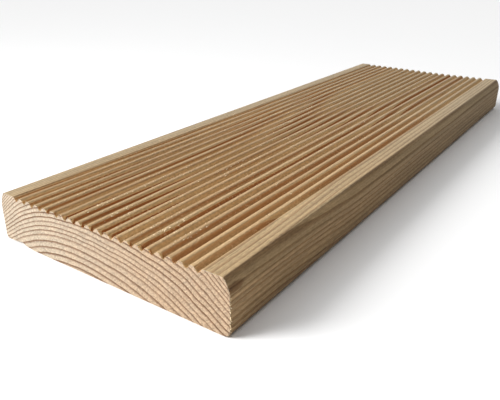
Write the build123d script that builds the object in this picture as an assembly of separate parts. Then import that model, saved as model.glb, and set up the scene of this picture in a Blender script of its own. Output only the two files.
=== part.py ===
"""Ribbed decking plank of douglas fir: one sawn and moulded piece of solid timber.

The length runs along Y, the width along X and the thickness along Z. The ribbed face is up.
The origin is at the middle of the flat underside. All sizes are in millimetres.
"""

import math
import os

from build123d import *

# The planed blank
LENGTH = 430.0
WIDTH = 143.0
THICKNESS = 27.0
UNDERSIDE_CORNER_RADIUS = 3.5

# The eased long edges: an arc that leaves the side upright and meets the top at an arris
EASED_EDGE_RUN = 3.3
EASED_EDGE_DROP = 8.5
ARRIS_RADIUS = 0.6

# The ribs: V grooves along the whole length, set out from the left side as far as the right margin
FIRST_GROOVE_FROM_LEFT = 13.5
LAST_GROOVE_FROM_RIGHT_MIN = 14.0
GROOVE_PITCH = 6.0
GROOVE_DEPTH = 2.2
GROOVE_ANGLE = 88.0
GROOVE_ROOT_RADIUS = 0.3
RIB_CREST_RADIUS = 1.2

# How far the groove cutter stands above the face that it cuts
CUTTER_CLEARANCE = 1.0

# Two corners of the section count as level when they are this close in height
LEVEL_TOLERANCE = 1e-6

half_width = WIDTH / 2
ribbed_span = WIDTH - FIRST_GROOVE_FROM_LEFT - LAST_GROOVE_FROM_RIGHT_MIN
groove_count = math.floor(ribbed_span / GROOVE_PITCH) + 1
first_groove = FIRST_GROOVE_FROM_LEFT - half_width
last_groove = first_groove + (groove_count - 1) * GROOVE_PITCH


def corners_at(section, height):
    """The corners of the section at one height above the underside, from left to right."""
    level = [
        corner
        for corner in section.vertices()
        if math.isclose(corner.Y, height, abs_tol=LEVEL_TOLERANCE)
    ]
    return sorted(level, key=lambda corner: corner.X)


def blank_outline():
    """The planed blank: flat underside, upright sides, eased upper edges and a flat top."""
    eased_from = THICKNESS - EASED_EDGE_DROP
    top_corner = half_width - EASED_EDGE_RUN
    with BuildLine() as outline:
        underside = Line((-half_width, 0), (half_width, 0))
        right_side = Line(underside @ 1, (half_width, eased_from))
        right_edge = TangentArc(right_side @ 1, (top_corner, THICKNESS), tangent=right_side % 1)
        left_side = Line(underside @ 0, (-half_width, eased_from))
        left_edge = TangentArc(left_side @ 1, (-top_corner, THICKNESS), tangent=left_side % 1)
        Line(right_edge @ 1, left_edge @ 1)
    return outline.edges()


def groove_cutter():
    """A V that reaches the groove's depth below the face and stands a little above it."""
    cutter_half = (GROOVE_DEPTH + CUTTER_CLEARANCE) * math.tan(math.radians(GROOVE_ANGLE / 2))
    root = (0, -GROOVE_DEPTH)
    right = (cutter_half, CUTTER_CLEARANCE)
    left = (-cutter_half, CUTTER_CLEARANCE)
    return Polygon(root, right, left, align=None, mode=Mode.SUBTRACT)


def plank():
    """The moulded section, drawn across the width and run along the length."""
    with BuildPart() as piece:
        with BuildSketch(Plane.XZ) as section:
            make_face(blank_outline())
            fillet(corners_at(section, 0), UNDERSIDE_CORNER_RADIUS)
            fillet(corners_at(section, THICKNESS), ARRIS_RADIUS)
            with Locations(((first_groove + last_groove) / 2, THICKNESS)):
                with GridLocations(GROOVE_PITCH, 0, groove_count, 1):
                    groove_cutter()
            fillet(corners_at(section, THICKNESS - GROOVE_DEPTH), GROOVE_ROOT_RADIUS)
            left_arris, *rib_corners, right_arris = corners_at(section, THICKNESS)
            fillet(rib_corners, RIB_CREST_RADIUS)
        extrude(amount=LENGTH / 2, both=True)
    return piece.part


os.makedirs("parts", exist_ok=True)
board = plank()
export_step(board, "parts/plank.step")
print("grooves", groove_count, "faces", len(board.faces()), "volume", round(board.volume))
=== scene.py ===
"""The looks of a ribbed decking plank: planed and sawn softwood, with its growth rings and torn fibres."""

import math
import random

import bpy
import numpy as np
from mathutils import Matrix, Quaternion, Vector, noise


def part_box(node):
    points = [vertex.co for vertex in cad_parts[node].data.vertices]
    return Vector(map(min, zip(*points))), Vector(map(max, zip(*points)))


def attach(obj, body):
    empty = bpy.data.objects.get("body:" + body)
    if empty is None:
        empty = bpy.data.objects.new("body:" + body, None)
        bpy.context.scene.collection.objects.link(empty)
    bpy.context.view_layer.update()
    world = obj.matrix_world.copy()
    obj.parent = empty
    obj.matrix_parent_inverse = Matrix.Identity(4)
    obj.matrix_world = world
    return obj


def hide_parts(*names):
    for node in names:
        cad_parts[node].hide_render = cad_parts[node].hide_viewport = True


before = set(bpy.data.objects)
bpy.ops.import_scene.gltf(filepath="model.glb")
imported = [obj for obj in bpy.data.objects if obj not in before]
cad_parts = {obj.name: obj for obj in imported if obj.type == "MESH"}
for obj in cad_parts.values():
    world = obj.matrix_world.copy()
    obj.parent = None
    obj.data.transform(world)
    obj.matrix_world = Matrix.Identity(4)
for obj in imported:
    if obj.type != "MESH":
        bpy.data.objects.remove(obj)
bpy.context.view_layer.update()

# The ribbed plank. One length of solid douglas fir, sawn with the heart of the tree below it, planed, and run
# through a moulder that eased its long edges and cut twenty V grooves. A saw cut it to length, left the end
# arrises a little ragged and broke a flake out under the left corner. It lies loose, fixed to nothing.
MM = 0.001
low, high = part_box("plank")
near_end = low.y / MM
far_end = high.y / MM
half_width = (high.x - low.x) / 2 / MM
thickness = (high.z - low.z) / MM

# The moulded section in millimetres, with the number of steps that draw each rounding
FOOT_RADIUS = 3.5
FOOT_STEPS = 4
EASED_RUN = 3.3
EASED_DROP = 8.5
EASED_STEPS = 7
ARRIS_RADIUS = 0.6
ARRIS_STEPS = 2
GROOVE_COUNT = 20
FIRST_GROOVE_FROM_LEFT = 13.5
GROOVE_PITCH = 6.0
GROOVE_DEPTH = 2.2
GROOVE_ANGLE = math.radians(88)
GROOVE_ROOT_RADIUS = 0.3
GROOVE_ROOT_STEPS = 2
RIB_CREST_RADIUS = 1.2
RIB_CREST_STEPS = 3
eased_from = thickness - EASED_DROP
groove_half = GROOVE_DEPTH * math.tan(GROOVE_ANGLE / 2)
groove_roots = [FIRST_GROOVE_FROM_LEFT - half_width + i * GROOVE_PITCH for i in range(GROOVE_COUNT)]


def rounded(before, corner, after, radius, steps):
    """The points of the arc that rounds one corner of an outline."""
    into = (before - corner).normalized()
    out = (after - corner).normalized()
    half_angle = into.angle(out) / 2
    centre = corner + (into + out).normalized() * (radius / math.sin(half_angle))
    start = corner + into * (radius / math.tan(half_angle)) - centre
    turn = math.copysign(math.pi - 2 * half_angle, into.y * out.x - into.x * out.y)
    return [centre + Matrix.Rotation(turn * i / steps, 2) @ start for i in range(steps + 1)]


def filled(points, spacing):
    """The same line of points, with more of them where two lie further apart than the spacing."""
    line = []
    for start, end in zip(points, points[1:]):
        parts = math.ceil((end - start).length / spacing)
        line += [start.lerp(end, i / parts) for i in range(parts)]
    return line + points[-1:]


def eased_edge(side):
    """The arc of one long edge, from the upright side to the arris: side is -1 left and 1 right."""
    radius = (EASED_RUN**2 + EASED_DROP**2) / (2 * EASED_RUN)
    turns = [math.asin(EASED_DROP / radius) * i / EASED_STEPS for i in range(EASED_STEPS + 1)]
    centre = half_width - radius
    return [
        Vector((side * (centre + radius * math.cos(turn)), eased_from + radius * math.sin(turn)))
        for turn in turns
    ]


def top_corners():
    """The sharp corners of the top, from left to right, each with its rounding and number of steps."""
    arris = half_width - EASED_RUN
    corners = [(Vector((-arris, thickness)), ARRIS_RADIUS, ARRIS_STEPS)]
    for x in groove_roots:
        corners.append((Vector((x - groove_half, thickness)), RIB_CREST_RADIUS, RIB_CREST_STEPS))
        corners.append((Vector((x, thickness - GROOVE_DEPTH)), GROOVE_ROOT_RADIUS, GROOVE_ROOT_STEPS))
        corners.append((Vector((x + groove_half, thickness)), RIB_CREST_RADIUS, RIB_CREST_STEPS))
    return corners + [(Vector((arris, thickness)), ARRIS_RADIUS, ARRIS_STEPS)]


# The board has cupped as it dried: the ribs right of the middle stand lower than the margins
CUP_DEPTH = 0.45
CUP_MIDDLE = 12.0
CUP_REACH = 30.0


def sunk(corner):
    """A corner of the section after the board has cupped. The underside stays flat."""
    if corner.y < eased_from:
        return corner
    off_middle = (corner.x - CUP_MIDDLE) / CUP_REACH
    return corner - Vector((0, CUP_DEPTH * math.exp(-off_middle * off_middle)))


# The flake that the saw broke out of the underside: where it ends on the right, where it is deepest, how
# high it reaches at the left side and at its deepest, and how far it reaches along the plank
BREAK_OUT_END = 17.5 - half_width
BREAK_OUT_DEEPEST = 13.0 - half_width
BREAK_OUT_AT_SIDE = 1.1
BREAK_OUT_DEPTH = 2.2
BREAK_OUT_LENGTH = 17.0
# The break follows the fibres: ragged across the plank, smooth along it, and running out in a curve
BREAK_FINE_ACROSS = 0.9
BREAK_FINE_ALONG = 0.08
BREAK_NOISE_LAYER = 3.0
BREAK_RAGGED_LENGTH = 0.35
BREAK_RAGGED_DEPTH = 0.2
BREAK_CURVE = 0.6


def broken_height(x, y):
    """How far above the underside the broken flake leaves the wood."""
    across = [-half_width, BREAK_OUT_DEEPEST, BREAK_OUT_END]
    depth = np.interp(x, across, [BREAK_OUT_AT_SIDE, BREAK_OUT_DEPTH, 0])
    fibre = noise.noise(Vector((x * BREAK_FINE_ACROSS, y * BREAK_FINE_ALONG, BREAK_NOISE_LAYER)))
    reach = BREAK_OUT_LENGTH * (1 + BREAK_RAGGED_LENGTH * fibre)
    left = max(0.0, 1 - (y - near_end) / reach)
    return depth * (1 + BREAK_RAGGED_DEPTH * fibre) * left**BREAK_CURVE


# How far apart the outline's points are at most: on the sides and top, on the underside, and where the flake
# is out of it. The last of these starts a little inside the flake's right end.
OUTLINE_SPACING = 1.6
UNDERSIDE_SPACING = 6.0
BREAK_SPACING = 0.9
BREAK_SPACING_INSIDE = 2.0


def section_outline():
    """The plank's section, clockwise from the left foot, as the near end shows it."""
    left_edge = eased_edge(-1)
    right_edge = eased_edge(1)[::-1]
    left_foot = Vector((-half_width, 0))
    right_foot = Vector((half_width, 0))
    corners = top_corners()
    places = [left_edge[-2], *(corner for corner, *_ in corners), right_edge[1]]
    top = []
    for before, (corner, radius, steps), after in zip(places, corners, places[2:]):
        top += rounded(before, corner, after, radius, steps)
    left_rounding = rounded(right_foot, left_foot, left_edge[0], FOOT_RADIUS, FOOT_STEPS)
    right_rounding = rounded(right_edge[-1], right_foot, left_foot, FOOT_RADIUS, FOOT_STEPS)
    sides_and_top = [*left_rounding, *left_edge[:-1], *top, *right_edge[1:], *right_rounding]
    fine_from = Vector((BREAK_OUT_END - BREAK_SPACING_INSIDE, 0))
    underside = filled([right_rounding[-1], fine_from], UNDERSIDE_SPACING)
    broken = filled([fine_from, left_rounding[0]], BREAK_SPACING)
    return [sunk(corner) for corner in filled(sides_and_top, OUTLINE_SPACING)] + underside[1:] + broken[1:-1]


# The section is repeated along the length: at both ends, behind their worn arrises, closely past the broken
# flake, and evenly from there on
ARRIS_WEAR = 0.28
BROKEN_ZONE = 24.0
BROKEN_STEP = 1.0
EVEN_STATIONS = 130
outline = section_outline()
stations = [near_end, near_end + ARRIS_WEAR]
stations += list(np.arange(near_end + BROKEN_STEP, near_end + BROKEN_ZONE, BROKEN_STEP))
stations += list(np.linspace(near_end + BROKEN_ZONE, far_end - BROKEN_STEP, EVEN_STATIONS))
stations += [far_end - ARRIS_WEAR, far_end]

count = len(outline)
ahead = np.array(outline[1:] + outline[:1])
behind = np.array(outline[-1:] + outline[:-1])
run = ahead - behind
outward = np.stack([-run[:, 1], run[:, 0]], axis=1) / np.linalg.norm(run, axis=1)[:, None]

# The planer left faint waves. At the ends the arrises are worn back unevenly, and the wood there is bare,
# between the outer grooves only on the crests. It is bare in the break too.
PLANING_WAVE = 0.05
PLANING_FINE_ACROSS = 0.4
PLANING_FINE_ALONG = 0.025
ARRIS_WEAR_MEAN = 0.7
ARRIS_WEAR_SPREAD = 0.5
ARRIS_WEAR_FINE = 1.7
BARE_CREST = 0.6
grooves_from = groove_roots[0] - groove_half
grooves_to = groove_roots[-1] + groove_half
points = []
raw = []
for y in stations:
    at_end = y in (near_end, far_end)
    for (x, z), (out_x, out_z) in zip(outline, outward):
        wave = Vector((x * PLANING_FINE_ACROSS, y * PLANING_FINE_ALONG, z * PLANING_FINE_ACROSS))
        wear = PLANING_WAVE * noise.noise(wave)
        if at_end:
            ragged = noise.noise(Vector((x * ARRIS_WEAR_FINE, y, z * ARRIS_WEAR_FINE)))
            wear -= ARRIS_WEAR * (ARRIS_WEAR_MEAN + ARRIS_WEAR_SPREAD * ragged)
        place = Vector((x + out_x * wear, y, z + out_z * wear))
        in_grooves = grooves_from < x < grooves_to and z > eased_from
        worn_bare = at_end and (not in_grooves or z > thickness - BARE_CREST)
        broken = broken_height(x, y)
        broken_bare = broken > 0 and place.z < broken
        place.z = max(place.z, broken)
        points.append(place * MM)
        raw.append(float(worn_bare or broken_bare))

faces = []
for j in range(len(stations) - 1):
    for i in range(count):
        k = (i + 1) % count
        faces.append((j * count + i, j * count + k, (j + 1) * count + k, (j + 1) * count + i))
last = (len(stations) - 1) * count
faces.append(tuple(reversed(range(count))))
faces.append(tuple(range(last, last + count)))

plank_mesh = bpy.data.meshes.new("ribbed_plank")
plank_mesh.from_pydata(points, [], faces)
plank_mesh.attributes.new("raw_wood", "FLOAT", "POINT").data.foreach_set("value", raw)

# The plank's surface laid flat: the outline runs across, the length up, and the two ends lie beside it
END_GAP = 6.0
girth = [0]
for start, end in zip(outline, outline[1:] + outline[:1]):
    girth.append(girth[-1] + (end - start).length)
lengths = [y - near_end for y in stations]
laid = []
for near, far in zip(lengths, lengths[1:]):
    for left, right in zip(girth, girth[1:]):
        laid += [(left, near), (right, near), (right, far), (left, far)]
beside = girth[-1] + END_GAP
for start, order in ((0, reversed(outline)), (2 * half_width + END_GAP, outline)):
    laid += [(beside + z, start + half_width + x) for x, z in order]
sheet_length = far_end - near_end
plank_mesh.uv_layers.new(name="OFBake").data.foreach_set("uv", (np.array(laid) / sheet_length).ravel())


def placed(name, data):
    """A new object of the scene, at the origin."""
    thing = bpy.data.objects.new(name, data)
    bpy.context.scene.collection.objects.link(thing)
    return thing


SHARP_ANGLE = math.radians(38)
plank_mesh.shade_smooth()
plank_mesh.set_sharp_from_angle(angle=SHARP_ANGLE)
ribbed_plank = placed("ribbed_plank", plank_mesh)


def feed(node, sockets):
    """Fills a node's sockets: a field is linked, and anything else is the socket's own value."""
    for key, value in sockets.items():
        if isinstance(value, Field):
            value.tree.links.new(value.socket, node.inputs[key])
        else:
            node.inputs[key].default_value = value


class Field:
    """What varies over a surface: one socket among a material's nodes. Sums of fields add Math nodes."""

    # Where a Mix node has the sockets that it uses for colours
    MIX_FACTOR, MIX_FIRST, MIX_SECOND, MIX_RESULT = 0, 6, 7, 2

    def __init__(self, tree, socket=None):
        self.tree = tree
        self.socket = socket

    def node(self, kind, settings, sockets, output=0):
        """Adds a node with its settings, then the values or links of its sockets, and gives one output."""
        node = self.tree.nodes.new(kind)
        for name, value in settings.items():
            setattr(node, name, value)
        feed(node, sockets)
        return Field(self.tree, node.outputs[output])

    def math(self, operation, *values):
        """A Math node on this number, and on another one where the operation takes two."""
        return self.node("ShaderNodeMath", {"operation": operation}, dict(enumerate((self, *values))))

    def vector(self, operation, *values, output=0):
        """A Vector Math node on this place or colour, and on another one where the operation takes two."""
        sockets = dict(enumerate((self, *values)))
        return self.node("ShaderNodeVectorMath", {"operation": operation}, sockets, output)

    def __add__(self, other):
        return self.math("ADD", other)

    def __sub__(self, other):
        return self.math("SUBTRACT", other)

    def __rsub__(self, other):
        return self.node("ShaderNodeMath", {"operation": "SUBTRACT"}, {0: other, 1: self})

    def __mul__(self, other):
        return self.math("MULTIPLY", other)

    def __truediv__(self, other):
        return self.math("DIVIDE", other)

    __radd__ = __add__
    __rmul__ = __mul__

    def between(self, start, end):
        """0 below start and 1 above end, smooth in between."""
        sockets = {"Value": self, "From Min": start, "From Max": end}
        return self.node("ShaderNodeMapRange", {"interpolation_type": "SMOOTHSTEP"}, sockets)

    def band(self, rise, fall):
        """1 in a band that starts over the range rise and ends over the range fall, and 0 outside it."""
        return self.between(*rise) * (1 - self.between(*fall))

    def bell(self):
        """1 where the number is 0, and less and less to either side."""
        return (self * self * -1).math("EXPONENT")

    def blend(self, bare, full):
        """The number bare where the field is 0 and full where it is 1."""
        return bare + self * (full - bare)

    def mix(self, bare, full):
        """The colour bare where the field is 0 and full where it is 1."""
        sockets = {self.MIX_FACTOR: self, self.MIX_FIRST: bare, self.MIX_SECOND: full}
        return self.node("ShaderNodeMix", {"data_type": "RGBA"}, sockets, self.MIX_RESULT)

    def parts(self):
        """The three numbers of a place."""
        return [self.node("ShaderNodeSeparateXYZ", {}, {0: self}, axis) for axis in "XYZ"]

    def times(self, other):
        """A place stretched or a colour tinted: each of its three numbers multiplied by its own one."""
        return self.vector("MULTIPLY", other)

    def shaded(self, shade):
        """A colour made lighter or darker."""
        return self.node("ShaderNodeVectorMath", {"operation": "SCALE"}, {0: self, "Scale": shade})

    def cloud(self, stretch, detail, roughness):
        """Soft noise at a place, from about -0.5 to 0.5. The stretch is how fine it is each way."""
        place = self.times(stretch)
        sockets = {"Vector": place, "Scale": 1.0, "Detail": detail, "Roughness": roughness}
        return self.node("ShaderNodeTexNoise", {"noise_dimensions": "3D"}, sockets) - 0.5

    def relief(self, strength, distance):
        """The field as bumps of a surface, for a shader's Normal."""
        return self.node("ShaderNodeBump", {}, {"Strength": strength, "Distance": distance, "Height": self})


# The growth rings. Each ring is an arch over the heart of the tree, which lies below the plank. A ring is
# named by the height at which it crosses the heart's own plane. To either side it falls off with the second,
# third and fourth powers of the distance, and differently towards the top. Bracketed pairs are ranges in mm.
HEART_X = -17.0
ARCH_SPAN = 50.0
FALL_SECOND, FALL_SECOND_CHANGE = 10.02, -2.73
FALL_THIRD, FALL_THIRD_CHANGE = -4.82, -2.60
FALL_FOURTH, FALL_FOURTH_CHANGE = 1.72, 1.97
# High up, the crowns of the arches are lifted
CROWN_LIFT = 0.7
CROWN_LEVELS = (20.0, 25.0)
CROWN_RISE, CROWN_FALL = (-30.0, -10.0), (8.0, 30.0)
# Just behind the near end, the rings in the ribs are lifted too, a little more on the right
TOP_LIFT_LEFT, TOP_LIFT_RIGHT = 1.2, 1.5
TOP_LIFT_CHANGE = (12.0, 26.0)
TOP_LIFT_LEVELS = (21.5, 25.5)
TOP_LIFT_RISE, TOP_LIFT_FALL = (-44.0, -35.0), (38.0, 45.0)
TOP_LIFT_ALONG = (near_end, near_end + 2.0)
# Along the length the rings dip, most on the left, rise past the dip and run on level
DIP_LEFT, DIP_RIGHT = 1.7, 0.25
DIP_CHANGE = (2.0, 14.0)
DIP_AT = -105.0
DIP_REACH = 80.0
RISE = 2.3
RISE_ALONG = (-20.0, 100.0)
# At the right edge they dip and stay down, most at the foot, and a little more at the last groove
EDGE_DIP_FOOT, EDGE_DIP_TOP = 4.4, 1.5
EDGE_DIP_LEVELS = (8.0, 26.0)
EDGE_DIP_ALONG = (-200.0, -90.0)
EDGE_DIP_ACROSS = (36.0, 62.0)
LAST_GROOVE_DIP_NEAR, LAST_GROOVE_DIP_FAR = 0.2, 1.1
LAST_GROOVE_RISE, LAST_GROOVE_FALL = (51.0, 54.0), (57.5, 59.0)
LAST_GROOVE_ALONG = (-190.0, -140.0)
# A noise is how fine it is along X, Y and Z, then its detail and roughness. This one makes the rings wander.
RING_WANDER = ((0.12, 0.012, 0.12), 3.0, 0.5)


def ring_height(place):
    """Which ring each point lies on, named by the height at which that ring crosses the heart's own plane."""
    x, y, z = place.parts()
    reach = (x - HEART_X) / ARCH_SPAN
    square = reach * reach
    level = (z - thickness / 2) / (thickness / 2)
    second = FALL_SECOND + FALL_SECOND_CHANGE * level
    third = FALL_THIRD + FALL_THIRD_CHANGE * level
    fourth = FALL_FOURTH + FALL_FOURTH_CHANGE * level
    height = z + square * (second + reach * third + square * fourth)
    height = height - CROWN_LIFT * z.between(*CROWN_LEVELS) * x.band(CROWN_RISE, CROWN_FALL)
    top_lift = x.between(*TOP_LIFT_CHANGE).blend(TOP_LIFT_LEFT, TOP_LIFT_RIGHT)
    top_lift = top_lift * z.between(*TOP_LIFT_LEVELS) * x.band(TOP_LIFT_RISE, TOP_LIFT_FALL)
    height = height - top_lift * y.between(*TOP_LIFT_ALONG)
    dip = x.between(*DIP_CHANGE).blend(DIP_LEFT, DIP_RIGHT)
    middle = dip * ((y - DIP_AT) / DIP_REACH).bell() - RISE * y.between(*RISE_ALONG)
    edge = y.between(*EDGE_DIP_ALONG) * z.between(*EDGE_DIP_LEVELS).blend(EDGE_DIP_FOOT, EDGE_DIP_TOP)
    height = height + x.between(*EDGE_DIP_ACROSS).blend(middle, edge)
    last_groove = y.between(*LAST_GROOVE_ALONG).blend(LAST_GROOVE_DIP_NEAR, LAST_GROOVE_DIP_FAR)
    height = height + last_groove * x.band(LAST_GROOVE_RISE, LAST_GROOVE_FALL)
    return height + place.cloud(*RING_WANDER)


# Spells of even growth, from the first ring up: how many years, and how wide each year's ring is
FIRST_RING = -4.53
GROWTH_SPELLS = ((6, 3.36), (9, 2.28), (9, 1.63))
# How much of its year the wood below the first ring had grown, and which years' latewood is dark or pale
YEAR_BEFORE = 0.9
YEAR_SEED = 137549


def grown(material):
    """The wood's figure: each point's place in mm, how far through its year it grew, and that year's tone."""
    place = Field(material.node_tree).node("ShaderNodeTexCoord", {}, {}, "Object")
    place = place.times((1 / MM, 1 / MM, 1 / MM))
    height = ring_height(place)
    years = YEAR_BEFORE
    start = FIRST_RING
    for rings, width in GROWTH_SPELLS:
        end = start + rings * width
        sockets = {"Value": height, "From Min": start, "From Max": end, "To Max": float(rings)}
        years = years + height.node("ShaderNodeMapRange", {}, sockets)
        start = end
    year = years.math("FLOOR") + YEAR_SEED
    tone = years.node("ShaderNodeTexWhiteNoise", {"noise_dimensions": "1D"}, {"W": year})
    return place, years.math("FRACT"), tone


# When in its year the late wood starts and is full, on ribs, plain faces and sawn ends, and when it stops
RIB_LATE = (0.3, 0.75)
PLAIN_LATE = (0.38, 0.85)
SAWN_LATE = (0.45, 0.88)
LATE_STOP = (0.955, 1.0)


def latewood(part, late):
    """The dense late wood of a year, from 0 to 1. It starts softly and stops sharply at the year's end."""
    return part.band(late, LATE_STOP)


def colour(red, green, blue):
    """A colour in linear light, opaque."""
    return (red, green, blue, 1.0)


def new_material(name):
    """A material that starts with only its Principled shader."""
    material = bpy.data.materials.new(name)
    material.use_nodes = True
    return material, material.node_tree.nodes["Principled BSDF"]


# Where the top is ribbed, out from the outer roots and up from the eased edge, and how deep below the cupped
# top the grooves, the crests and the roots begin and end
RIBBED_INNER, RIBBED_OUTER = 1.8, 2.4
RIBBED_RISE = (groove_roots[0] - RIBBED_OUTER, groove_roots[0] - RIBBED_INNER)
RIBBED_FALL = (groove_roots[-1] + RIBBED_INNER, groove_roots[-1] + RIBBED_OUTER)
RIBBED_LEVELS = (eased_from, eased_from + 1.0)
GROOVE_BAND = (0.0, 0.7)
CREST_BAND = (0.2, 1.2)
ROOT_BAND = (0.9, 2.1)


def ribs(place):
    """Four masks: the ribbed part of the top, its grooves, its crests and its roots."""
    x, _, z = place.parts()
    depth = thickness - CUP_DEPTH * ((x - CUP_MIDDLE) / CUP_REACH).bell() - z
    ribbed = x.band(RIBBED_RISE, RIBBED_FALL) * z.between(*RIBBED_LEVELS)
    groove = ribbed * depth.between(*GROOVE_BAND)
    crest = ribbed * (1 - depth.between(*CREST_BAND))
    root = ribbed * depth.between(*ROOT_BAND)
    return ribbed, groove, crest, root


# The smudge on the near end of the eased right edge: how fast it fades each way, and how ragged it is
SMUDGE_AT = (70.5, -212.5, 22.0)
SMUDGE_FADE = (0.25, 0.1, 0.42)
SMUDGE_OUTLINE = (0.6, 0.95)
SMUDGE_RAGGED = 0.5
SMUDGE_NOISE = ((0.5, 0.2, 0.5), 2.0, 0.5)


def smudged(place):
    """Where the edge is smudged."""
    off = place.vector("SUBTRACT", SMUDGE_AT).times(SMUDGE_FADE).vector("LENGTH", output="Value")
    return 1 - (off + SMUDGE_RAGGED * place.cloud(*SMUDGE_NOISE)).between(*SMUDGE_OUTLINE)


# The fuzz that the knives raised on the ribs: how strong it is, how much stronger in torn patches, and from
# what strength on it shows there as pale flecks
TORN_NOISE = ((0.09, 0.012, 0.02), 2.0, 0.5)
TORN_PATCH = (-0.1, 0.12)
FUZZ_NOISE = ((0.95, 0.65, 0.95), 1.0, 0.7)
FUZZ_ON_RIBS = 0.35
FUZZ_WHERE_TORN = 0.4
FLECK_BAND = (0.1, 0.22)


def fuzzed(place, ribbed):
    """The fuzz on the ribs, and where it shows as pale flecks."""
    torn = ribbed * place.cloud(*TORN_NOISE).between(*TORN_PATCH)
    fuzz = place.cloud(*FUZZ_NOISE)
    fleck = torn * fuzz.between(*FLECK_BAND)
    return fuzz * (FUZZ_ON_RIBS * ribbed + FUZZ_WHERE_TORN * torn), fleck


# Painted light and shade on the faces, from part to part. Painted shade makes the right side darker, more so
# far away and at its foot, and the roots darker, most near the near end.
SIDE_SHADE = 0.14
SIDE_SHADE_FAR, SIDE_SHADE_ALONG = 0.05, (-150.0, 120.0)
SIDE_SHADE_FOOT, SIDE_SHADE_LEVELS = 0.08, (2.0, 10.0)
ROOT_SHADE_NEAR, ROOT_SHADE_FAR = 0.3, 0.18
ROOT_SHADE_ALONG = (-120.0, 100.0)
# Painted highlight: the crests are lighter towards the right, less so far away, and on the left a touch
# darker
CREST_LIGHT, CREST_LIGHT_ACROSS = 0.2, (-50.0, 30.0)
CREST_LIGHT_LOST, CREST_LIGHT_ALONG = 0.6, (-60.0, 120.0)
CREST_DARKENING = 0.04
# Painted highlight: the last crests on the right are lighter still near the near end. Far from it the left
# ribs are lighter, and the left margin has a painted sheen.
RIGHT_LIGHT, RIGHT_LIGHT_ACROSS, RIGHT_LIGHT_ALONG = 0.12, (36.0, 52.0), (20.0, 150.0)
LEFT_LIGHT, LEFT_LIGHT_ACROSS, LEFT_LIGHT_ALONG = 0.08, (-30.0, -10.0), (-120.0, -40.0)
MARGIN_LIGHT, LEFT_MARGIN, MARGIN_LIGHT_ALONG = 0.06, (-64.0, -58.0), (-20.0, 120.0)


def painted_light(place, ribbed, crest, root, side):
    """Painted highlight, sheen and shade, as how much lighter each point is: less than 0 where it is darker.
    """
    x, y, z = place.parts()
    side_shade = SIDE_SHADE + SIDE_SHADE_FAR * y.between(*SIDE_SHADE_ALONG)
    side_shade = side_shade + SIDE_SHADE_FOOT * (1 - z.between(*SIDE_SHADE_LEVELS))
    root_shade = y.between(*ROOT_SHADE_ALONG).blend(ROOT_SHADE_NEAR, ROOT_SHADE_FAR)
    crest_light = CREST_LIGHT * x.between(*CREST_LIGHT_ACROSS)
    crest_light = crest_light * (1 - CREST_LIGHT_LOST * y.between(*CREST_LIGHT_ALONG)) - CREST_DARKENING
    right_light = RIGHT_LIGHT * x.between(*RIGHT_LIGHT_ACROSS) * (1 - y.between(*RIGHT_LIGHT_ALONG))
    left_light = LEFT_LIGHT * (1 - x.between(*LEFT_LIGHT_ACROSS)) * y.between(*LEFT_LIGHT_ALONG)
    margin_light = MARGIN_LIGHT * (1 - x.between(*LEFT_MARGIN)) * y.between(*MARGIN_LIGHT_ALONG)
    light = crest * (crest_light + right_light) + ribbed * left_light + margin_light
    return light - root * root_shade - side * side_shade


# The planed wood's colours. The late wood of the plain faces is less red than that of the ribs.
EARLYWOOD = colour(0.43, 0.295, 0.152)
LATEWOOD = colour(0.245, 0.088, 0.017)
PLAIN_LATEWOOD = colour(0.22, 0.115, 0.045)
FLECK = colour(0.62, 0.48, 0.28)
SAWN_EARLYWOOD = colour(0.455, 0.374, 0.281)
# What the parts of the faces multiply them by. White changes nothing.
WHITE = colour(1, 1, 1)
PLAIN_TINT = colour(1.055, 1.09, 1.125)
# Painted light: the warm light that bounces between the groove walls, which lightens and warms the grooves
GROOVE_BOUNCE_TINT = colour(1.35, 1.24, 1.05)
EASED_DARK_TINT = colour(0.80, 0.75, 0.68)
# Painted sheen: the greyer, bluer light that glances off the faces far along and on the left margin
SHEEN_TINT = colour(0.97, 1.06, 1.22)
SMUDGE_TINT = colour(0.6, 0.5, 0.42)
# Painted shade: the right side drawn darker and warmer
SIDE_SHADE_TINT = colour(1.01, 0.93, 0.845)
# Where the eased edges are darker, where the right side is, and where the painted sheen lies: more and more
# along the length, and in part all over the left margin
DARK_EDGE_LEVELS = (eased_from - 0.3, eased_from + 0.5)
DARK_EDGE_ACROSS = (half_width - EASED_RUN, half_width - EASED_RUN + 0.3)
SIDE_ACROSS = (half_width - 1.5, half_width - 0.5)
SHEEN_ALONG = (-170.0, 150.0)
SHEEN_LEFT_MARGIN = 0.7
# How strongly the late wood shows: on the ribs, more on the plain faces and in the grooves, less on the
# crests, and how much of that is left in the palest years
LATE_STRENGTH = 0.55
LATE_MORE_PLAIN = 0.4
LATE_MORE_GROOVE = 0.45
LATE_LESS_CREST = 0.3
LATE_PALEST_YEAR = 0.35
# The grain: long streaks and short fibres, how strongly they show, and how strong the flecks are
STREAK_NOISE = ((0.9, 0.012, 0.9), 3.0, 0.6)
STREAK_ON_RIBS, STREAK_ON_PLAIN = 0.4, 1.0
FIBRE_NOISE = ((1.6, 0.35, 1.6), 2.0, 0.65)
FIBRE_ON_RIBS, FIBRE_ON_PLAIN = 0.3, 0.9
FLECK_STRENGTH = 0.45
# How much streaks and late wood stand out beside the fibres, and the relief's strength and height in metres
STREAK_RELIEF = 0.5
LATE_RELIEF = 0.2
FACE_RELIEF = (0.8, 0.0004)
# The crests and margins are smoother than the rest
ROUGH_FACE, SMOOTH_FACE = 0.85, 0.55
SMOOTH_LEVELS = (thickness - 1.0, thickness - 0.5)
FACE_SPECULAR = 0.4


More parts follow.
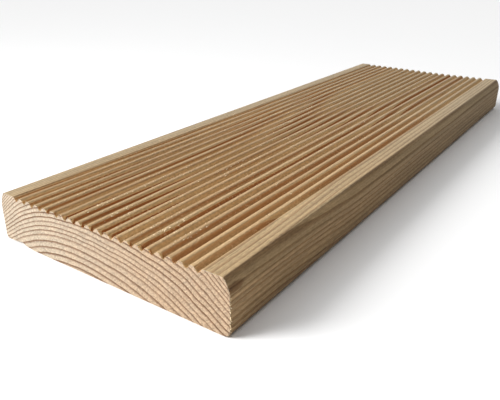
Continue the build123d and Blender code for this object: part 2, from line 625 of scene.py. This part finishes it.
def moulded_face():
    """The planed and moulded faces: cream earlywood, red-brown latewood and fine fibres along the length."""
    material, shader = new_material("moulded_face")
    place, part, tone = grown(material)
    x, y, z = place.parts()
    ribbed, groove, crest, root = ribs(place)
    plain = 1 - ribbed
    eased = z.between(*DARK_EDGE_LEVELS) * x.math("ABSOLUTE").between(*DARK_EDGE_ACROSS)
    side = x.between(*SIDE_ACROSS) * (1 - eased)
    # Painted sheen, more and more along the length and on the left margin
    painted_sheen = y.between(*SHEEN_ALONG) + SHEEN_LEFT_MARGIN * (1 - x.between(*LEFT_MARGIN))
    streak = place.cloud(*STREAK_NOISE)
    fibre = place.cloud(*FIBRE_NOISE)
    fuzz, fleck = fuzzed(place, ribbed)

    late = ribbed.blend(latewood(part, PLAIN_LATE), latewood(part, RIB_LATE))
    strength = LATE_STRENGTH + LATE_MORE_PLAIN * plain - LATE_LESS_CREST * crest + LATE_MORE_GROOVE * groove
    strength = strength * tone.blend(LATE_PALEST_YEAR, 1.0)
    wood = (late * strength).mix(EARLYWOOD, plain.mix(LATEWOOD, PLAIN_LATEWOOD))
    # Painted light among the tints: bounce light in the grooves, sheen far along, shade on the right side
    for mask, tint in (
        (plain, PLAIN_TINT),
        (groove, GROOVE_BOUNCE_TINT),
        (eased, EASED_DARK_TINT),
        (painted_sheen, SHEEN_TINT),
        (smudged(place), SMUDGE_TINT),
        (side, SIDE_SHADE_TINT),
    ):
        wood = wood.times(mask.mix(WHITE, tint))
    grain = plain.blend(STREAK_ON_RIBS, STREAK_ON_PLAIN) * streak
    grain = grain + plain.blend(FIBRE_ON_RIBS, FIBRE_ON_PLAIN) * fibre
    # Painted highlight on the crests, sheen on the left margin, and shade on the roots and the right side
    wood = wood.shaded(1 + grain + fuzz + painted_light(place, ribbed, crest, root, side))
    wood = (FLECK_STRENGTH * fleck).mix(wood, FLECK)
    bare = place.node("ShaderNodeAttribute", {"attribute_name": "raw_wood"}, {}, "Fac")
    wood = bare.mix(wood, SAWN_EARLYWOOD)

    relief = STREAK_RELIEF * streak + fibre + LATE_RELIEF * late + fuzz
    roughness = z.between(*SMOOTH_LEVELS).blend(ROUGH_FACE, SMOOTH_FACE)
    feed(shader, {"Base Color": wood, "Roughness": roughness, "Normal": relief.relief(*FACE_RELIEF)})
    feed(shader, {"Specular IOR Level": FACE_SPECULAR})
    return material


# The sawn ends are warmer to the right, unevenly, and the palest years keep less of the late wood's colour
SAWN_EARLYWOOD_RIGHT = colour(0.427, 0.309, 0.205)
SAWN_LATEWOOD = colour(0.145, 0.075, 0.04)
SAWN_RIGHT_ACROSS = (-70.0, 60.0)
SAWN_RIGHT_UNEVEN = 0.9
SAWN_PALEST_YEAR = 0.68
# The marks of the saw slant up to the right. With them come pits between the fibres and soft blotches.
SAW_SLANT = math.radians(38)
SAW_MARK_NOISE = ((0.45, 1.5, 1.0), 2.0, 0.7)
PIT_NOISE = ((1.2, 0.1, 1.2), 2.0, 0.8)
BLOTCH_NOISE = ((0.16, 0.1, 0.16), 2.0, 0.6)
SAW_MARK_SHADE = 0.75
PIT_SHADE = 1.5
BLOTCH_SHADE = 0.25
SAWN_RELIEF = (0.6, 0.0006)
SAWN_ROUGHNESS = 0.9
SAWN_SPECULAR = 0.2


def sawn_end():
    """The sawn ends: paler end grain, with dark ring lines and slanting marks of the saw."""
    material, shader = new_material("sawn_end")
    place, part, tone = grown(material)
    x, _, z = place.parts()
    along = math.cos(SAW_SLANT) * x + math.sin(SAW_SLANT) * z
    across = math.cos(SAW_SLANT) * z - math.sin(SAW_SLANT) * x
    saw_mark = place.node("ShaderNodeCombineXYZ", {}, {"X": along, "Y": across}).cloud(*SAW_MARK_NOISE)
    pit = place.cloud(*PIT_NOISE)
    blotch = place.cloud(*BLOTCH_NOISE)
    right = x.between(*SAWN_RIGHT_ACROSS) + SAWN_RIGHT_UNEVEN * blotch
    pale = right.mix(SAWN_EARLYWOOD, SAWN_EARLYWOOD_RIGHT)
    late = latewood(part, SAWN_LATE) * tone.blend(SAWN_PALEST_YEAR, 1.0)
    wood = late.mix(pale, SAWN_LATEWOOD)
    wood = wood.shaded(1 + PIT_SHADE * pit + SAW_MARK_SHADE * saw_mark + BLOTCH_SHADE * blotch)
    feed(shader, {"Base Color": wood, "Normal": (pit + saw_mark).relief(*SAWN_RELIEF)})
    feed(shader, {"Roughness": SAWN_ROUGHNESS, "Specular IOR Level": SAWN_SPECULAR})
    return material


# The mesh's last two faces are the ends
SAWN_SLOT = 1
plank_mesh.materials.append(moulded_face())
plank_mesh.materials.append(sawn_end())
plank_mesh.polygons[-2].material_index = SAWN_SLOT
plank_mesh.polygons[-1].material_index = SAWN_SLOT

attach(ribbed_plank, "root")
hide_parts("plank")

# The torn fibres. Slivers of the plank's own wood, torn up along the ribs by the moulder's knives, and left
# as fuzz around the near end by the saw. Each is rooted in the surface and lifts its tip clear of it.
FIBRE_ROOT = 0.15
SLIVER_FACES = ((0, 3, 1), (0, 2, 3), (1, 3, 2), (0, 1, 2))
FIBRE_SEED = 11
shake = random.Random(FIBRE_SEED)
crown = [corner for corner in outline if corner.y > eased_from]
crown_x = [corner.x for corner in crown]
crown_z = [corner.y for corner in crown]
fibre_points = []
fibre_faces = []


def add_fibre(at, along, up, length, width, lift):
    """One torn fibre: a sliver with a flat root below the surface and a lifted tip."""
    across = along.cross(up).normalized() * (width / 2)
    first = len(fibre_points)
    fibre_points.extend([at + across, at - across, at - up * FIBRE_ROOT, at + along * length + up * lift])
    fibre_faces.extend((first + a, first + b, first + c) for a, b, c in SLIVER_FACES)


# Rows on the ribs. Most are right of the middle, and more are near the near end. Each keeps to the left
# shoulder of a groove, at one distance from its root.
TORN_ROWS = 170
MOST_TORN_GROOVE = 13
TORN_FROM = 2.0
TORN_SPAN = 360.0
TORN_CROWDING = 1.5
TORN_SHOULDERS = (-3.6, -3.1, -2.7, -2.4, -2.1, -1.8)
TORN_IN_ROW = (1, 9)
TORN_STEP = (0.8, 5.0)
TORN_WANDER = 0.2
TORN_SKEW = 0.5
TORN_UP = Vector((0.5, -0.2, 1)).normalized()
TORN_LENGTH = (0.5, 1.1)
TORN_WIDTH = (0.4, 0.75)
TORN_LIFT = (0.1, 0.35)
for row in range(TORN_ROWS):
    groove = min(int(shake.triangular(0, GROOVE_COUNT, MOST_TORN_GROOVE)), GROOVE_COUNT - 1)
    y = near_end + TORN_FROM + TORN_SPAN * shake.random() ** TORN_CROWDING
    shoulder = groove_roots[groove] + shake.choice(TORN_SHOULDERS)
    for fibre in range(shake.randint(*TORN_IN_ROW)):
        y += shake.uniform(*TORN_STEP)
        x = shoulder + shake.gauss(0, TORN_WANDER)
        at = Vector((x, y, float(np.interp(x, crown_x, crown_z))))
        along = Vector((shake.gauss(0, TORN_SKEW), shake.choice((-1, 1)), 0)).normalized()
        sizes = [shake.uniform(*size) for size in (TORN_LENGTH, TORN_WIDTH, TORN_LIFT)]
        add_fibre(at, along, TORN_UP, *sizes)

# Fuzz along the near end's upper outline, pointing out of the end and up. Its lean is a mean and a spread.
FUZZ_LIFT = 0.1
END_FUZZ = 260
END_BEHIND = (0.0, 0.25)
END_LEAN = (0.1, 0.4)
END_OUT = -0.5
END_RISE = (0.1, 0.9)
END_UP = Vector((0.2, -0.6, 0.8))
END_LENGTH = (0.2, 0.7)
END_WIDTH = (0.2, 0.5)
for tuft in range(END_FUZZ):
    corner = shake.choice(crown)
    at = Vector((corner.x, near_end + shake.uniform(*END_BEHIND), corner.y))
    along = Vector((shake.gauss(*END_LEAN), END_OUT, shake.uniform(*END_RISE))).normalized()
    sizes = [shake.uniform(*size) for size in (END_LENGTH, END_WIDTH)]
    add_fibre(at, along, END_UP, *sizes, FUZZ_LIFT)

# Fuzz on the near end's right arris, in clumps, pointing out of the side. Forward is a mean and a spread.
SIDE_FUZZ = 43
SIDE_INSIDE = 0.15
SIDE_BEHIND = (0.0, 0.6)
SIDE_CLUMPS = (17, 13, 8, 5)
SIDE_SCATTER = 1.5
SIDE_OUT = 0.8
SIDE_FORWARD = (-0.3, 0.4)
SIDE_TILT = 0.4
SIDE_UP = Vector((0.5, -0.8, 0.2)).normalized()
SIDE_LENGTH = (0.3, 0.9)
SIDE_WIDTH = (0.2, 0.6)
for tuft in range(SIDE_FUZZ):
    y = near_end + shake.uniform(*SIDE_BEHIND)
    at = Vector((half_width - SIDE_INSIDE, y, shake.choice(SIDE_CLUMPS) + shake.gauss(0, SIDE_SCATTER)))
    along = Vector((SIDE_OUT, shake.gauss(*SIDE_FORWARD), shake.gauss(0, SIDE_TILT))).normalized()
    sizes = [shake.uniform(*size) for size in (SIDE_LENGTH, SIDE_WIDTH)]
    add_fibre(at, along, SIDE_UP, *sizes, FUZZ_LIFT)

fibre_mesh = bpy.data.meshes.new("torn_fibres")
fibre_mesh.from_pydata([point * MM for point in fibre_points], [], fibre_faces)
torn_fibres = placed("torn_fibres", fibre_mesh)

# Torn wood is paler than the faces, and each sliver has one of three shades
FIBRE_ROUGHNESS = 0.8
FIBRE_SHADES = {
    "pale_fibre": colour(0.86, 0.71, 0.47),
    "fresh_fibre": colour(0.78, 0.63, 0.4),
    "dull_fibre": colour(0.69, 0.54, 0.33),
}
for name, shade in FIBRE_SHADES.items():
    fibre_paint, fibre_shader = new_material(name)
    feed(fibre_shader, {"Base Color": shade, "Roughness": FIBRE_ROUGHNESS})
    fibre_mesh.materials.append(fibre_paint)
for face in fibre_mesh.polygons:
    sliver = face.index // len(SLIVER_FACES)
    face.material_index = sliver % len(FIBRE_SHADES)

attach(torn_fibres, "root")

# The floor. A plain pale sheet, much wider than the view, that the plank lies on. It belongs to the stage,
# and it lies a hair below the underside, so that the two don't share a plane.
FLOOR_SIZE = 8.0
FLOOR_DROP = 0.0002
FLOOR_PALE = colour(0.95, 0.95, 0.95)
FLOOR_ROUGHNESS = 0.9
edge = FLOOR_SIZE / 2
floor_corners = [(-edge, -edge, 0), (edge, -edge, 0), (edge, edge, 0), (-edge, edge, 0)]
floor_mesh = bpy.data.meshes.new("floor")
floor_mesh.from_pydata(floor_corners, [], [(0, 1, 2, 3)])
floor = placed("floor", floor_mesh)
floor.location.z = -FLOOR_DROP
floor_paint, floor_shader = new_material("floor_paint")
feed(floor_shader, {"Base Color": FLOOR_PALE, "Roughness": FLOOR_ROUGHNESS})
floor_mesh.materials.append(floor_paint)

# The light. A low soft key from the front left, a soft box in front of the near end, soft light from
# overhead, and a pale wall at the back left that shines on the far end. What the camera sees past the floor
# is evenly pale.
TO_KEY = Vector((-0.675, -0.585, 0.45))
KEY_STRENGTH = 3.3
KEY_WIDTH = math.radians(30)
key_light = bpy.data.lights.new("key_light", "SUN")
key_light.energy = KEY_STRENGTH
key_light.angle = KEY_WIDTH
key = placed("key_light", key_light)
key.rotation_euler = TO_KEY.to_track_quat("Z", "Y").to_euler()

FRONT_AT = Vector((-0.30, -0.65, 0.38))
FRONT_AIM = Vector((0.0, -0.215, 0.0))
FRONT_POWER = 3.2
FRONT_SIZE = 0.3
front_light = bpy.data.lights.new("front_light", "AREA")
front_light.energy = FRONT_POWER
front_light.size = FRONT_SIZE
front = placed("front_light", front_light)
front.location = FRONT_AT
front.rotation_euler = (FRONT_AT - FRONT_AIM).to_track_quat("Z", "Y").to_euler()

# Ranges of how far up a direction points, from 0 at the horizon to 1, and how squarely it faces the wall
AROUND_STRENGTH = 0.04
OVERHEAD_STRENGTH = 0.85
OVERHEAD_UP = (0.5, 0.95)
BACK_STRENGTH = 0.6
TO_BACK = (-0.56, 0.83, 0.0)
BACK_FACING = (0.5, 0.95)
BACK_UP = (0.0, 0.1)
SURROUNDINGS_STRENGTH = 0.85
world = bpy.data.worlds.new("overhead_light")
world.use_nodes = True
looking = Field(world.node_tree).node("ShaderNodeTexCoord", {}, {}, "Generated")
up = looking.parts()[2]
back = looking.vector("DOT_PRODUCT", TO_BACK, output="Value").between(*BACK_FACING) * up.between(*BACK_UP)
strength = AROUND_STRENGTH + OVERHEAD_STRENGTH * up.between(*OVERHEAD_UP) + BACK_STRENGTH * back
seen = looking.node("ShaderNodeLightPath", {}, {}, "Is Camera Ray")
strength = seen.blend(strength, SURROUNDINGS_STRENGTH)
feed(world.node_tree.nodes["Background"], {"Color": WHITE, "Strength": strength})
bpy.context.scene.world = world
bpy.context.scene.view_settings.view_transform = "Standard"

# The camera. A little above the plank, off its right near corner, and turned a touch out of level.
# Its place and aim are in millimetres in the plank's own frame, and its focal length is in picture pixels.
CAMERA_AT = Vector((178.45, -359.65, 139.82))
CAMERA_AIM = Vector((19.295, -125.595, 13.5))
CAMERA_ROLL = math.radians(0.577)
FOCAL_PIXELS = 567.76
IMAGE_WIDTH = 500
NEAREST_SEEN = 0.01
camera_lens = bpy.data.cameras.new("camera")
camera_lens.sensor_fit = "HORIZONTAL"
camera_lens.lens = camera_lens.sensor_width * FOCAL_PIXELS / IMAGE_WIDTH
camera_lens.clip_start = NEAREST_SEEN
camera = placed("camera", camera_lens)
camera.location = CAMERA_AT * MM
level = (CAMERA_AIM - CAMERA_AT).to_track_quat("-Z", "Y")
camera.rotation_euler = (level @ Quaternion((0, 0, 1), CAMERA_ROLL)).to_euler()
bpy.context.scene.camera = camera
